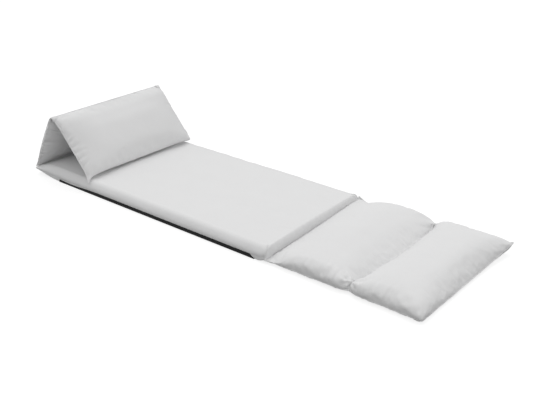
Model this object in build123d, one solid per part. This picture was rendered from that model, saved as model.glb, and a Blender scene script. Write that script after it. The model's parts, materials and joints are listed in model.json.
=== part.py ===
from build123d import *
import math
import os

# Folding floor chair laid out flat: a two-part mat on a hinged steel frame, a two-panel
# headrest tented at one end and two foot pillows at the other. Millimetres, +X from head to
# foot, +Z up. While it is built, x = 0 is the mat's head end and z = 0 is the floor.

# ---- mat ----
mat_length = 1250
mat_width = 600
mat_thickness = 54
mat_crown = 2.5
mat_side_bulge = 3
mat_shoulder = 24
mat_bulge_rise = 3
mat_shoulder_start = 6
mat_corner_radius = 26
mat_corner_trim = 2
head_end_taper = 150
head_seam_low = 22
head_seam_high = 30
foot_end_taper = 31
foot_end_lift = 10
foot_end_shoulder = 14
cover_thickness = 1.2
foam_gap = 0.3
base_edge_height = 15
seam_gap = 0.2

# ---- fold line in the middle of the mat ----
back_length = 625
back_fold_angle = 90
axis_height = 20
fold_gap = 0.4

# ---- steel frame ----
tube_size = 16
tube_wall = 1.2
tube_side_margin = 60
tube_bend_radius = 60
tube_end_from_axis = 38
frame_end_margin = 70
cross_bar_radius = 6
cross_bar_from_axis = 104
weld_gap = 0.1
strap_width = 50
strap_thickness = 1.2
strap_count = 3
strap_gap = 0.2

# ---- ratchet hinge ----
hub_radius = 18
side_plate_thickness = 2
ratchet_thickness = 4
plate_gap = 0.3
arm_gap = 0.1
arm_length = 62
pivot_radius = 4
rivet_head_thickness = 1.6
rivet_head_overlap = 3
hole_gap = 0.05
tooth_pitch = 15
tooth_root_radius = 12.5
tooth_tip_radius = 15
tooth_gap = 0.3
pawl_angle = -50
pawl_reach = 18
pawl_pin_radius = 2.5
pawl_boss_radius = 4.8
pawl_depth = 3.2
pawl_lift = 9
plate_boss_radius = 8
spring_thickness = 0.5
spring_end_drop = 4.2
spring_tail = 8
pocket_gap = 6
pocket_side_gap = 2

# ---- pillows ----
seam_thickness = 3
pillow_cloth = 1
pillow_gap = 2.4
seam_end_margin = 9
end_draw_in = 5
hinge_edge_draw_in = 0.8
end_round = 62
end_crown = 3
end_crown_trim = 2
corner_trim = 0.5
outer_round = 46
fill_flat_count = 6
roll_gap = 0.3

# ---- headrest ----
head_width = 592
head_rear_length = 282
head_front_length = 298
head_rear_angle = 59.4
head_inner_bulge = 34
head_rear_outer_bulge = 24
head_front_outer_bulge = 38
head_axis_out = 1
head_axis_height = 32
head_flap_thickness = 1.5
rest_gap = 0.3

# ---- foot pillows ----
foot_width = 606
foot_inner_length = 288
foot_outer_length = 283
foot_top_bulge = 43
foot_seam_height = 36
foot_web_length = 60
foot_web_height = 27
foot_web_thickness = 2
foot_web_sag = 6
foot_web_margin = 22

BIG = 2 * mat_length


def polar(radius, degrees):
    angle = math.radians(degrees)
    return Vector(radius * math.cos(angle), radius * math.sin(angle))


def across(face, half_width):
    """A face drawn in the side view, given its width both ways along Y."""
    return extrude(Plane.XZ * face, amount=half_width, both=True)


# ---- mat: the common space of its side view, end view and plan ----
def mat_side_view():
    top = mat_thickness
    foot_low = mat_length - foot_end_taper
    head_mid = (0.30 * head_end_taper, 0.30 * head_seam_low)
    outline = [
        Line((head_end_taper, 0), (foot_low, 0)),
        ThreePointArc(
            (foot_low, 0),
            (mat_length - 0.45 * foot_end_taper, 0.28 * foot_end_lift),
            (mat_length, foot_end_lift),
        ),
        Line((mat_length, foot_end_lift), (mat_length, top - foot_end_shoulder)),
        ThreePointArc(
            (mat_length, top - foot_end_shoulder),
            (mat_length - 0.293 * foot_end_shoulder, top - 0.293 * foot_end_shoulder),
            (mat_length - foot_end_shoulder, top),
        ),
        Line((mat_length - foot_end_shoulder, top), (head_end_taper, top)),
        ThreePointArc(
            (head_end_taper, top),
            (0.38 * head_end_taper, top - 0.33 * (top - head_seam_high)),
            (0, head_seam_high),
        ),
        Line((0, head_seam_high), (0, head_seam_low)),
        ThreePointArc((0, head_seam_low), head_mid, (head_end_taper, 0)),
    ]
    return make_face(outline)


def mat_end_view():
    half = mat_width / 2
    foot = half - mat_side_bulge
    shoulder = mat_thickness - mat_crown
    low = shoulder - mat_shoulder
    outline = [Line((-foot, 0), (foot, 0))]
    for side in (1, -1):
        edge = [
            Line((side * foot, 0), (side * foot, base_edge_height)),
            ThreePointArc(
                (side * foot, base_edge_height),
                (side * half, (base_edge_height + low) / 2 + mat_bulge_rise),
                (side * (half - 0.3 * mat_side_bulge), low + mat_shoulder_start),
            ),
            ThreePointArc(
                (side * (half - 0.3 * mat_side_bulge), low + mat_shoulder_start),
                (side * (half - 0.28 * mat_shoulder), shoulder - 0.24 * mat_shoulder),
                (side * (half - mat_shoulder), shoulder),
            ),
        ]
        outline += edge
    crown_edge = half - mat_shoulder
    outline.append(ThreePointArc((crown_edge, shoulder), (0, mat_thickness), (-crown_edge, shoulder)))
    return make_face(outline)


def mat_plan():
    plan = Rectangle(mat_length + 2 * mat_corner_trim, mat_width + 2 * mat_corner_trim)
    plan = fillet(plan.vertices(), mat_corner_radius)
    return Pos(mat_length / 2, 0) * plan


def mat_solid(inset):
    """The whole mat, drawn in by the same distance all over."""
    side, end, plan = mat_side_view(), mat_end_view(), mat_plan()
    if inset:
        side, end, plan = [offset(view, amount=-inset) for view in (side, end, plan)]
    from_side = across(side, mat_width)
    from_end = Pos(-mat_length / 2, 0, 0) * extrude(Plane.YZ * end, amount=2 * mat_length)
    from_top = Pos(0, 0, -mat_thickness) * extrude(plan, amount=3 * mat_thickness)
    return from_side & from_end & from_top


# ---- pillows: the common space of a side view, an end view and a plan ----
def bend(start, middle, end, flats):
    """An arc through three points, or that many flats with their corners on it."""
    arc = ThreePointArc(start, middle, end)
    if not flats:
        return arc
    return Polyline(*[arc @ (step / flats) for step in range(flats + 1)])


def quarter(edge, turn, rise, low, flats):
    """The round from a seam edge up to a pillow's face."""
    corner = math.sqrt(0.5)
    middle = (edge - math.copysign((1 - corner) * turn, edge), low + corner * rise)
    end = (edge - math.copysign(turn, edge), low + rise)
    return bend((edge, low), middle, end, flats)


def pillow_side_view(half_length, up, down, rim, flats):
    """Lens-shaped on the folding face, fuller and flat in the middle on the other."""
    a = half_length
    down += end_crown_trim
    return make_face([
        Line((-a, -rim), (-a, rim)),
        bend((-a, rim), (0, up), (a, rim), flats),
        Line((a, rim), (a, -rim)),
        quarter(a, outer_round, rim - down, -rim, flats // 2),
        Line((a - outer_round, -down), (outer_round - a, -down)),
        quarter(-a, outer_round, rim - down, -rim, flats // 2),
    ])


def pillow_end_view(half_width, up, down, rim, flats):
    """Rounded down to the seam at both ends, with a slight crown along the middle."""
    b = half_width
    shoulder = up - end_crown
    return make_face([
        Line((-b, -rim), (-b, rim)),
        quarter(-b, end_round, shoulder - rim, rim, flats // 2),
        bend((end_round - b, shoulder), (0, up + end_crown_trim), (b - end_round, shoulder), flats),
        quarter(b, end_round, shoulder - rim, rim, flats // 2),
        Line((b, rim), (b, -rim)),
        quarter(b, outer_round, rim - down, -rim, flats // 2),
        Line((b - outer_round, -down), (outer_round - b, -down)),
        quarter(-b, outer_round, rim - down, -rim, flats // 2),
    ])


def pillow_plan(half_length, half_width):
    """The seam's outline: all four edges are drawn in between pointed corners."""
    a, b = half_length + corner_trim, half_width + corner_trim
    hinge_edge = half_length - hinge_edge_draw_in
    end_edge = half_width - end_draw_in
    return make_face([
        ThreePointArc((a, b), (hinge_edge, 0), (a, -b)),
        ThreePointArc((a, -b), (0, -end_edge), (-a, -b)),
        ThreePointArc((-a, -b), (-hinge_edge, 0), (-a, b)),
        ThreePointArc((-a, b), (0, end_edge), (a, b)),
    ])


def pillow(length, width, inner_bulge, outer_bulge, inset=0):
    """A pillow from its hinge edge at x = 0, folding face up, seam at z = 0.

    Drawn in by an inset it is the room inside the cover, which the fill takes in flats.
    """
    a, b = length / 2 - inset, width / 2 - inset
    up, down, rim = inner_bulge - inset, outer_bulge - inset, seam_thickness / 2 - inset
    flats = fill_flat_count if inset else 0
    side = pillow_side_view(a, up, down, rim, flats)
    end = pillow_end_view(b, up, down, rim, flats)
    plan = pillow_plan(a, b)
    if inset:
        plan = Rectangle(2 * (a - hinge_edge_draw_in), 2 * (b - end_draw_in))
    body = across(side, width) & extrude(Plane.YZ * end, amount=length, both=True)
    return Pos(length / 2, 0, 0) * (body & extrude(plan, amount=width, both=True))


# ---- regions of the mat ----
AXIS_X = back_length
TUBE_Y = mat_width / 2 - tube_side_margin
NOTCH_RUN = math.tan(math.radians(back_fold_angle / 2))


def notch_side(start, sign):
    """The side view of one half of the mat: upright below the axis, sloping away above it."""
    rise = mat_thickness
    x = AXIS_X + sign * start
    points = [
        (x, -rise),
        (x, axis_height),
        (x + sign * rise * NOTCH_RUN, axis_height + rise),
        (x + sign * BIG, axis_height + rise),
        (x + sign * BIG, -rise),
    ]
    return across(make_face(Polyline(*points, close=True)), mat_width)


def notch_wedge():
    """The space between the two halves above the axis."""
    low = axis_height + 2 * fold_gap / NOTCH_RUN
    points = [
        (AXIS_X, low),
        (AXIS_X + BIG * NOTCH_RUN, low + BIG),
        (AXIS_X - BIG * NOTCH_RUN, low + BIG),
    ]
    return across(make_face(Polyline(*points, close=True)), mat_width)


def frame_pocket(sign):
    """The room for one half of the frame in the underside of the foam."""
    near = AXIS_X + sign * hub_radius
    far = mat_length - frame_end_margin if sign > 0 else frame_end_margin
    far += sign * (tube_size / 2 + strap_gap + strap_thickness)
    top = axis_height + tube_size / 2 + strap_gap + strap_thickness + foam_gap
    half_width = TUBE_Y + tube_size / 2 + strap_gap + strap_thickness + foam_gap
    room = Box(abs(far - near), 2 * half_width, top)
    return Pos((near + far) / 2, 0, top / 2) * room


def hinge_pockets():
    """The room for both ratchet hinges, which the folded foam keeps clear of too."""
    reach = hub_radius + pocket_gap
    face = Circle(reach) + Rectangle(2 * tube_end_from_axis + 2 * foam_gap, tube_size)
    half = ratchet_thickness / 2 + plate_gap + side_plate_thickness + rivet_head_thickness + pocket_side_gap
    pocket = Pos(AXIS_X, 0, axis_height) * across(face, half)
    return Pos(0, TUBE_Y, 0) * pocket + Pos(0, -TUBE_Y, 0) * pocket


# ---- steel frame, drawn outward from the hinge axis ----
def for_half(shape, sign):
    """Sets a piece drawn outward along +X on the seat's side of the axis or the back's."""
    if sign < 0:
        shape = mirror(shape, about=Plane.YZ)
    return Pos(AXIS_X, 0, axis_height) * shape


def frame_reach(sign):
    """From the hinge axis to the middle of the U's cross piece."""
    half_length = mat_length - back_length if sign > 0 else back_length
    return half_length - frame_end_margin


def frame_tube(sign):
    """A U of square tube, open towards the hinges."""
    reach = frame_reach(sign)
    ring = Rectangle(tube_size, tube_size) - Rectangle(tube_size - 2 * tube_wall, tube_size - 2 * tube_wall)
    leg_length = reach - tube_end_from_axis - tube_bend_radius
    leg = extrude(Plane.YZ * ring, amount=leg_length)
    corner = Pos(reach - tube_bend_radius, TUBE_Y - tube_bend_radius)
    turn = revolve(Plane.YZ * (Pos(tube_bend_radius, 0) * ring), Axis.Z, revolution_arc=-90)
    half_cross = TUBE_Y - tube_bend_radius
    tube = Pos(reach, 0, 0) * extrude(Plane.XZ * ring, amount=half_cross, both=True)
    for side in (1, -1):
        side_leg = Pos(tube_end_from_axis, TUBE_Y, 0) * leg + corner * turn
        tube += side_leg if side > 0 else mirror(side_leg, about=Plane.XZ)
    return for_half(tube, sign)


def cross_bar(sign):
    """A round bar welded between the side tubes."""
    bar = across(Circle(cross_bar_radius), TUBE_Y - tube_size / 2 - weld_gap)
    return for_half(Pos(cross_bar_from_axis, 0, 0) * bar, sign)


def straps(sign):
    """Elastic straps looped round both side tubes."""
    first = cross_bar_from_axis + cross_bar_radius + strap_width
    last = frame_reach(sign) - tube_bend_radius - strap_width
    width = 2 * TUBE_Y + tube_size + 2 * strap_gap
    height = tube_size + 2 * strap_gap
    loop = RectangleRounded(width + 2 * strap_thickness, height + 2 * strap_thickness, strap_thickness)
    loop -= Rectangle(width, height)
    band = extrude(Plane.YZ * loop, amount=strap_width / 2, both=True)
    places = [first + (last - first) * number / (strap_count - 1) for number in range(strap_count)]
    return for_half(Part() + [Pos(x, 0, 0) * band for x in places], sign)


# ---- ratchet hinge, drawn with its axis at the origin of the side view ----
arm_height = tube_size - 2 * tube_wall - 2 * arm_gap
PAWL_PIVOT = polar(tooth_tip_radius + 1.2, pawl_angle) + polar(pawl_reach, pawl_angle + 90)


def at_hinge(shape, side):
    return Pos(AXIS_X, side * TUBE_Y, axis_height) * shape


def side_plate(side, inner):
    """One of the two stamped plates of the seat, with its arm in the tube's mouth."""
    boss = Pos(PAWL_PIVOT.X, PAWL_PIVOT.Y) * Circle(plate_boss_radius)
    plate = make_hull(Circle(hub_radius).edges() + boss.edges())
    plate += Pos(arm_length / 2, 0) * Rectangle(arm_length, arm_height)
    plate -= Circle(pivot_radius + hole_gap)
    plate -= Pos(PAWL_PIVOT.X, PAWL_PIVOT.Y) * Circle(pawl_pin_radius + hole_gap)
    stand_off = ratchet_thickness / 2 + plate_gap + side_plate_thickness / 2
    way = -side if inner else side
    return at_hinge(Pos(0, way * stand_off, 0) * across(plate, side_plate_thickness / 2), side)


def ratchet_plate(side):
    """The toothed plate of the back: each tooth slopes up and drops to the next gap."""
    clicks = round(back_fold_angle / tooth_pitch)
    teeth = [Vector(0, 0)]
    for number in range(-1, clicks + 2):
        start = pawl_angle + number * tooth_pitch
        teeth.append(polar(tooth_root_radius, start))
        teeth.append(polar(tooth_tip_radius, start + tooth_pitch))
    plate = Circle(tooth_root_radius) + make_face(Polyline(*teeth, close=True))
    plate += Pos(-arm_length / 2, 0) * Rectangle(arm_length, arm_height)
    plate -= Circle(pivot_radius + hole_gap)
    return at_hinge(across(plate, ratchet_thickness / 2), side)


def pawl_corners():
    """The pawl's outline in the teeth: tip, sloped shoulder, the two sides at its boss, heel."""
    clear = math.degrees(tooth_gap / tooth_root_radius)
    outward = polar(1, pawl_angle)
    tip = polar(tooth_root_radius + tooth_gap, pawl_angle + clear)
    shoulder = polar(tooth_tip_radius + tooth_gap, pawl_angle + tooth_pitch)
    heel = polar(tooth_tip_radius + pawl_depth, pawl_angle + clear)
    inner_side = PAWL_PIVOT - outward * pawl_boss_radius
    outer_side = PAWL_PIVOT + outward * pawl_boss_radius
    return tip, shoulder, inner_side, outer_side, heel


def lifted(point):
    """Where a point of the pawl lies when the pawl is swung clear of the teeth."""
    return PAWL_PIVOT + (point - PAWL_PIVOT).rotate(Axis.Z, pawl_lift)


def pawl(side):
    corners = [lifted(corner) for corner in pawl_corners()]
    face = make_face(Polyline(*corners, close=True))
    face += Pos(PAWL_PIVOT.X, PAWL_PIVOT.Y) * Circle(pawl_boss_radius)
    face -= Pos(PAWL_PIVOT.X, PAWL_PIVOT.Y) * Circle(pawl_pin_radius + hole_gap)
    return at_hinge(across(face, ratchet_thickness / 2), side)


def pawl_spring(side):
    """A leaf between the side plates that lies along the pawl's outer side."""
    outer_side, heel = [lifted(corner) for corner in pawl_corners()[3:]]
    away = (outer_side - heel).rotate(Axis.Z, -90).normalized()
    away *= foam_gap + spring_thickness / 2
    tail = Vector(tube_end_from_axis, -spring_end_drop)
    line = Polyline(heel + away, outer_side + away, tail, tail + Vector(spring_tail, 0))
    leaf = trace(line, spring_thickness)
    return at_hinge(across(leaf, ratchet_thickness / 2), side)


def rivet(radius, half_length, x, y, side):
    """A shank along Y with a flat round head on each end."""
    shank = across(Circle(radius), half_length)
    head = extrude(Plane.XZ * Circle(radius + rivet_head_overlap), amount=rivet_head_thickness)
    shank += Pos(0, -half_length, 0) * head
    shank += Pos(0, half_length + rivet_head_thickness, 0) * head
    return at_hinge(Pos(x, 0, y) * shank, side)


def hinge_rivets(radius, x, y):
    """The rivets through both hinges' side plates."""
    stack = ratchet_thickness / 2 + plate_gap + side_plate_thickness + hole_gap
    return Part() + [rivet(radius, stack, x, y, side) for side in (1, -1)]


# ---- fabric strips at the folds ----
def edge_roll(x, z, width):
    """A rolled seam on the line that two pillows fold about."""
    return Pos(x, 0, z) * across(Circle(pillow_gap - roll_gap), width / 2 - seam_end_margin)


def head_flap():
    """The strip up from the mat's head end to the line that the headrest folds about."""
    low = head_seam_low + seam_gap
    strip = Rectangle(head_flap_thickness, head_axis_height - low, align=(Align.CENTER, Align.MIN))
    strip = Pos(-head_axis_out, low) * strip
    strip += Pos(-head_axis_out, head_axis_height) * Circle(pillow_gap - roll_gap)
    flap = across(strip, head_width / 2 - seam_end_margin - mat_corner_radius / 2)
    return flap


def foot_web():
    """The web between the mat's foot end and the first foot pillow, hanging in a shallow sag."""
    start = (mat_length + foam_gap, foot_web_height)
    end = (mat_length + foot_web_length - foam_gap, foot_seam_height)
    middle = ((start[0] + end[0]) / 2, (start[1] + end[1]) / 2 - foot_web_sag)
    lower = ThreePointArc(start, middle, end)
    lift = foot_web_thickness
    upper = ThreePointArc(*[(x, z + lift) for x, z in (start, middle, end)])
    sides = [Line(start, (start[0], start[1] + lift)), Line(end, (end[0], end[1] + lift))]
    face = make_face([lower, upper] + sides)
    return Pos(0, 0, -lift) * across(face, mat_width / 2 - foot_web_margin)


# ---- where the pillows lie ----
def side_plane(x, z, degrees, fold_down):
    """A pillow's plane: its length runs at the angle, its folding face looks up or down."""
    along = polar(1, degrees)
    face = polar(1, degrees + (-90 if fold_down else 90))
    return Plane(origin=(x, 0, z), x_dir=(along.X, 0, along.Y), z_dir=(face.X, 0, face.Y))


def head_planes():
    """The planes of the two headrest panels, and the lines that they fold about.

    The front panel comes down from the ridge until its free edge rests on the mat.
    """
    hinge = Vector(-head_axis_out, head_axis_height)
    ridge = hinge + polar(2 * pillow_gap + head_rear_length, head_rear_angle)
    reach = pillow_gap + head_front_length
    half_seam = seam_thickness / 2
    drop = ridge.Y - mat_thickness - rest_gap
    slope = math.degrees(math.asin(drop / math.hypot(reach, half_seam)) - math.atan(half_seam / reach))
    rear_start = hinge + polar(pillow_gap, head_rear_angle)
    front_start = ridge + polar(pillow_gap, -slope)
    rear = side_plane(rear_start.X, rear_start.Y, head_rear_angle, True)
    front = side_plane(front_start.X, front_start.Y, -slope, True)
    return hinge, ridge, slope, rear, front


def above_floor(shape):
    return shape & Pos(BIG / 4, 0, BIG / 2) * Box(BIG, BIG, BIG)


def cover_and_fill(place, *sizes):
    """A pillow's hollow cover and the fibre fill inside it."""
    cover = place * pillow(*sizes) - place * pillow(*sizes, inset=pillow_cloth)
    fill = place * pillow(*sizes, inset=pillow_cloth + foam_gap)
    return above_floor(cover), fill


def build():
    parts = {}

    # the mat's cloth and foam, shared out between the seat, the back and the fold
    skin = mat_solid(0) - mat_solid(cover_thickness)
    core = mat_solid(cover_thickness + foam_gap)
    cloth_run = mat_length - head_end_taper - foot_end_taper
    cloth_middle = head_end_taper + cloth_run / 2
    tray = Pos(cloth_middle, 0, 0) * Box(cloth_run, BIG, 2 * base_edge_height)
    tray_room = Box(cloth_run + 2 * seam_gap, BIG, 2 * (base_edge_height + seam_gap))
    grey = skin - Pos(cloth_middle, 0, 0) * tray_room
    black = skin & tray
    pockets = hinge_pockets()
    for body, sign in (("seat", 1), ("back", -1)):
        region = notch_side(fold_gap / 2, sign)
        parts[f"{body}_cover"] = grey & region
        parts[f"{body}_base_cloth"] = black & region
        parts[f"{body}_foam"] = (core & region) - frame_pocket(sign) - pockets
        parts[f"{body}_frame_tube"] = frame_tube(sign)
        parts[f"{body}_cross_bar"] = cross_bar(sign)
        parts[f"{body}_straps"] = straps(sign)
    parts["fold_cover"] = grey & notch_wedge()
    parts["fold_foam"] = (core & notch_wedge()) - pockets

    parts["outer_side_plates"] = Part() + [side_plate(side, inner=False) for side in (1, -1)]
    parts["inner_side_plates"] = Part() + [side_plate(side, inner=True) for side in (1, -1)]
    parts["ratchet_plates"] = Part() + [ratchet_plate(side) for side in (1, -1)]
    for name, side in (("left", 1), ("right", -1)):
        parts[f"{name}_pawl"] = pawl(side)
        parts[f"{name}_pawl_spring"] = pawl_spring(side)
    parts["pivot_rivets"] = hinge_rivets(pivot_radius, 0, 0)
    parts["pawl_pins"] = hinge_rivets(pawl_pin_radius, PAWL_PIVOT.X, PAWL_PIVOT.Y)

    hinge, ridge, slope, rear, front = head_planes()
    bulges = (head_inner_bulge, head_rear_outer_bulge)
    cover, fill = cover_and_fill(rear, head_rear_length, head_width, *bulges)
    parts["head_rear_cover"], parts["head_rear_fill"] = cover, fill
    bulges = (head_inner_bulge, head_front_outer_bulge)
    cover, fill = cover_and_fill(front, head_front_length, head_width, *bulges)
    parts["head_front_cover"], parts["head_front_fill"] = cover, fill
    parts["head_flap"] = head_flap()
    parts["head_ridge_seam"] = edge_roll(ridge.X, ridge.Y, head_width)

    foot_bulges = (foot_top_bulge, foot_seam_height)
    inner_start = mat_length + foot_web_length
    foot_seam = inner_start + foot_inner_length + pillow_gap
    inner = side_plane(inner_start, foot_seam_height, 0, False)
    outer = side_plane(foot_seam + pillow_gap, foot_seam_height, 0, False)
    cover, fill = cover_and_fill(inner, foot_inner_length, foot_width, *foot_bulges)
    parts["foot_inner_cover"], parts["foot_inner_fill"] = cover, fill
    cover, fill = cover_and_fill(outer, foot_outer_length, foot_width, *foot_bulges)
    parts["foot_outer_cover"], parts["foot_outer_fill"] = cover, fill
    parts["foot_seam"] = edge_roll(foot_seam, foot_seam_height, foot_width)
    parts["foot_web"] = foot_web()
    return parts, hinge, ridge, slope, foot_seam


def main():
    parts, hinge, ridge, slope, foot_seam = build()
    boxes = [shape.bounding_box() for shape in parts.values()]
    middle = (min(box.min.X for box in boxes) + max(box.max.X for box in boxes)) / 2
    os.makedirs("parts", exist_ok=True)
    for name, shape in parts.items():
        export_step(Pos(-middle, 0, 0) * shape, f"parts/{name}.step")
    print(f"x of the mat's head end {-middle:.3f}")
    print(f"back axis x {AXIS_X - middle:.3f} z {axis_height}")
    print(f"headrest axis x {hinge.X - middle:.3f} z {hinge.Y}, ridge x {ridge.X - middle:.3f} z {ridge.Y:.3f}")
    print(f"rear panel {head_rear_angle} and front panel {slope:.3f} degrees from the floor")
    print(f"foot seam x {foot_seam - middle:.3f} z {foot_seam_height}")
    print(f"pawl pivot x {AXIS_X + PAWL_PIVOT.X - middle:.3f} z {axis_height + PAWL_PIVOT.Y:.3f}")


main()
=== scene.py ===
import json
import math

import bpy
import numpy as np
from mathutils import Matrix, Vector, noise


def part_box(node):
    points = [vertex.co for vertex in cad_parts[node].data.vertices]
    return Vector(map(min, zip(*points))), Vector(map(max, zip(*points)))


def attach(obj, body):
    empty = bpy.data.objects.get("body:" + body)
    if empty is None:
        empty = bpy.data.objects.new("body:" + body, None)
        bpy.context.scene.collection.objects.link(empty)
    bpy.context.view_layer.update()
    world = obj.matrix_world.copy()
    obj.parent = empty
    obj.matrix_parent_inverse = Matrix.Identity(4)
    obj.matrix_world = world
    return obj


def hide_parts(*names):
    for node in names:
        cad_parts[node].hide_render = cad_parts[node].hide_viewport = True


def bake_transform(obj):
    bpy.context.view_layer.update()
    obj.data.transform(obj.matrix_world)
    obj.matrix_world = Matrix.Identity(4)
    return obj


# The folding floor chair, dressed: a padded mat with its black underside cloth, a tented two-panel
# headrest and two foot pillows, over the steel frame. Metres, +X from the head to the foot.

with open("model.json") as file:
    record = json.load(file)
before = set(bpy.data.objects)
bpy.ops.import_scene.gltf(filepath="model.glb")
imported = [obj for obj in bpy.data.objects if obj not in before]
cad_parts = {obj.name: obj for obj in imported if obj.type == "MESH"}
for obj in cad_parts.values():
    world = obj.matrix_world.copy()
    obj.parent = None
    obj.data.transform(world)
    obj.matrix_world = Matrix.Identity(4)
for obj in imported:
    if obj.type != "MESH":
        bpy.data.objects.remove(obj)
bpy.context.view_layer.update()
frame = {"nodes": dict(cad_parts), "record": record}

# ---- places taken from the model ----
mat_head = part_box("back_cover")[0].x
mat_foot, mat_half_width, mat_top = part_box("seat_cover")[1]
cloth_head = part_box("back_base_cloth")[0].x
cloth_foot, cloth_half_width, cloth_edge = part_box("seat_base_cloth")[1]
head_half_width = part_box("head_front_cover")[1].y
foot_half_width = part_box("foot_inner_cover")[1].y
foot_end, _, foot_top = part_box("foot_outer_cover")[1]
joint_at = {joint["name"]: Vector(joint["pos_m"]) for joint in frame["record"]["behaviour"]["joints"]}
head_line = joint_at["headrest_fold"]
ridge = joint_at["ridge_fold"]
foot_seam = joint_at["foot_mid_fold"]

# ---- sizes of the soft pieces ----
floor_gap = 0.0006
cloth_thickness = 0.0012
head_front_length = 0.298
head_front_slope = math.radians(48.09)
rear_inner_bulge, rear_outer_bulge = 0.030, 0.030
rear_rim_bow = 0.014
front_inner_bulge, front_outer_bulge = 0.033, 0.042
seam_to_rim = 0.0008
seam_pinch = 0.009
mat_skew = 0.018
foot_rim_height = 0.010
foot_corner_lift = 0.030
web_start_height, web_far_lift = 0.012, 0.022
head_edge_low, head_edge_high = 0.022, 0.030
cell = 0.005
mat_cell = 0.008


def new_piece(name, mesh):
    piece = bpy.data.objects.new(name, mesh)
    bpy.context.collection.objects.link(piece)
    return piece


def mesh_from(name, points, faces, uvs=None, smooth=True):
    """A mesh object with an optional flat-cloth map: one place on the cloth for each point."""
    mesh = bpy.data.meshes.new(name)
    mesh.from_pydata([tuple(p) for p in points], [], [tuple(f) for f in faces])
    if uvs is not None:
        layer = mesh.uv_layers.new(name="cloth")
        corner = np.empty(len(mesh.loops), int)
        mesh.loops.foreach_get("vertex_index", corner)
        layer.data.foreach_set("uv", np.asarray(uvs, np.float32)[corner].ravel())
    mesh.polygons.foreach_set("use_smooth", np.full(len(mesh.polygons), smooth))
    mesh.update()
    return new_piece(name, mesh)


def sheet_faces(rows, columns, base=0):
    """Quads between rows of points."""
    corners = [base + n * columns + j for n in range(rows - 1) for j in range(columns - 1)]
    return [(a, a + 1, a + 1 + columns, a + columns) for a in corners]


def ring_faces(rings, size, base=0, closed=False):
    """Quads between rings of points; closed joins the last ring to the first."""
    faces = []
    for n in range(rings if closed else rings - 1):
        near, far = base + n * size, base + (n + 1) % rings * size
        for k in range(size):
            following = (k + 1) % size
            faces.append((near + k, far + k, far + following, near + following))
    return faces


def flipped(faces):
    return [(face[0], *face[:0:-1]) for face in faces]


def thicken(piece, thickness, offset):
    wall = piece.modifiers.new("cloth thickness", "SOLIDIFY")
    wall.thickness, wall.offset = thickness, offset


def points_of(piece, label="co"):
    out = np.empty(len(piece.data.vertices) * 3, np.float32)
    piece.data.vertices.foreach_get(label, out)
    return out.reshape(-1, 3).astype(float)


def set_points(piece, co):
    piece.data.vertices.foreach_set("co", np.asarray(co, np.float32).ravel())
    piece.data.update()


def normals_of(piece):
    return points_of(piece, "normal")


def wavy(co, wavelength, seed):
    """Smooth noise from -1 to 1 at each point."""
    shift = Vector((seed * 7.31, seed * 3.17, seed * 1.93))
    return np.array([noise.noise(Vector(p) / wavelength + shift) for p in co])


def even_out(piece, values, rounds):
    """Spreads values over a mesh: each round moves a point towards the mean of its neighbours."""
    edges = np.empty(len(piece.data.edges) * 2, int)
    piece.data.edges.foreach_get("vertices", edges)
    a, b = edges.reshape(-1, 2).T
    count = np.bincount(np.concatenate([a, b]), minlength=len(values))[:, None]
    for _ in range(rounds):
        total = np.zeros_like(values)
        np.add.at(total, a, values[b])
        np.add.at(total, b, values[a])
        values = 0.4 * values + 0.6 * total / count
    return values


def rise(distance, reach, roundness):
    """A panel's rise from its seam: 0 on it, 1 beyond its reach; roundness 0.5 is an ellipse."""
    near = 1 - np.clip(distance / reach, 0, 1)
    return (1 - near**2) ** roundness


def bell(distance, width):
    return np.exp(-((distance / width) ** 2))


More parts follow.
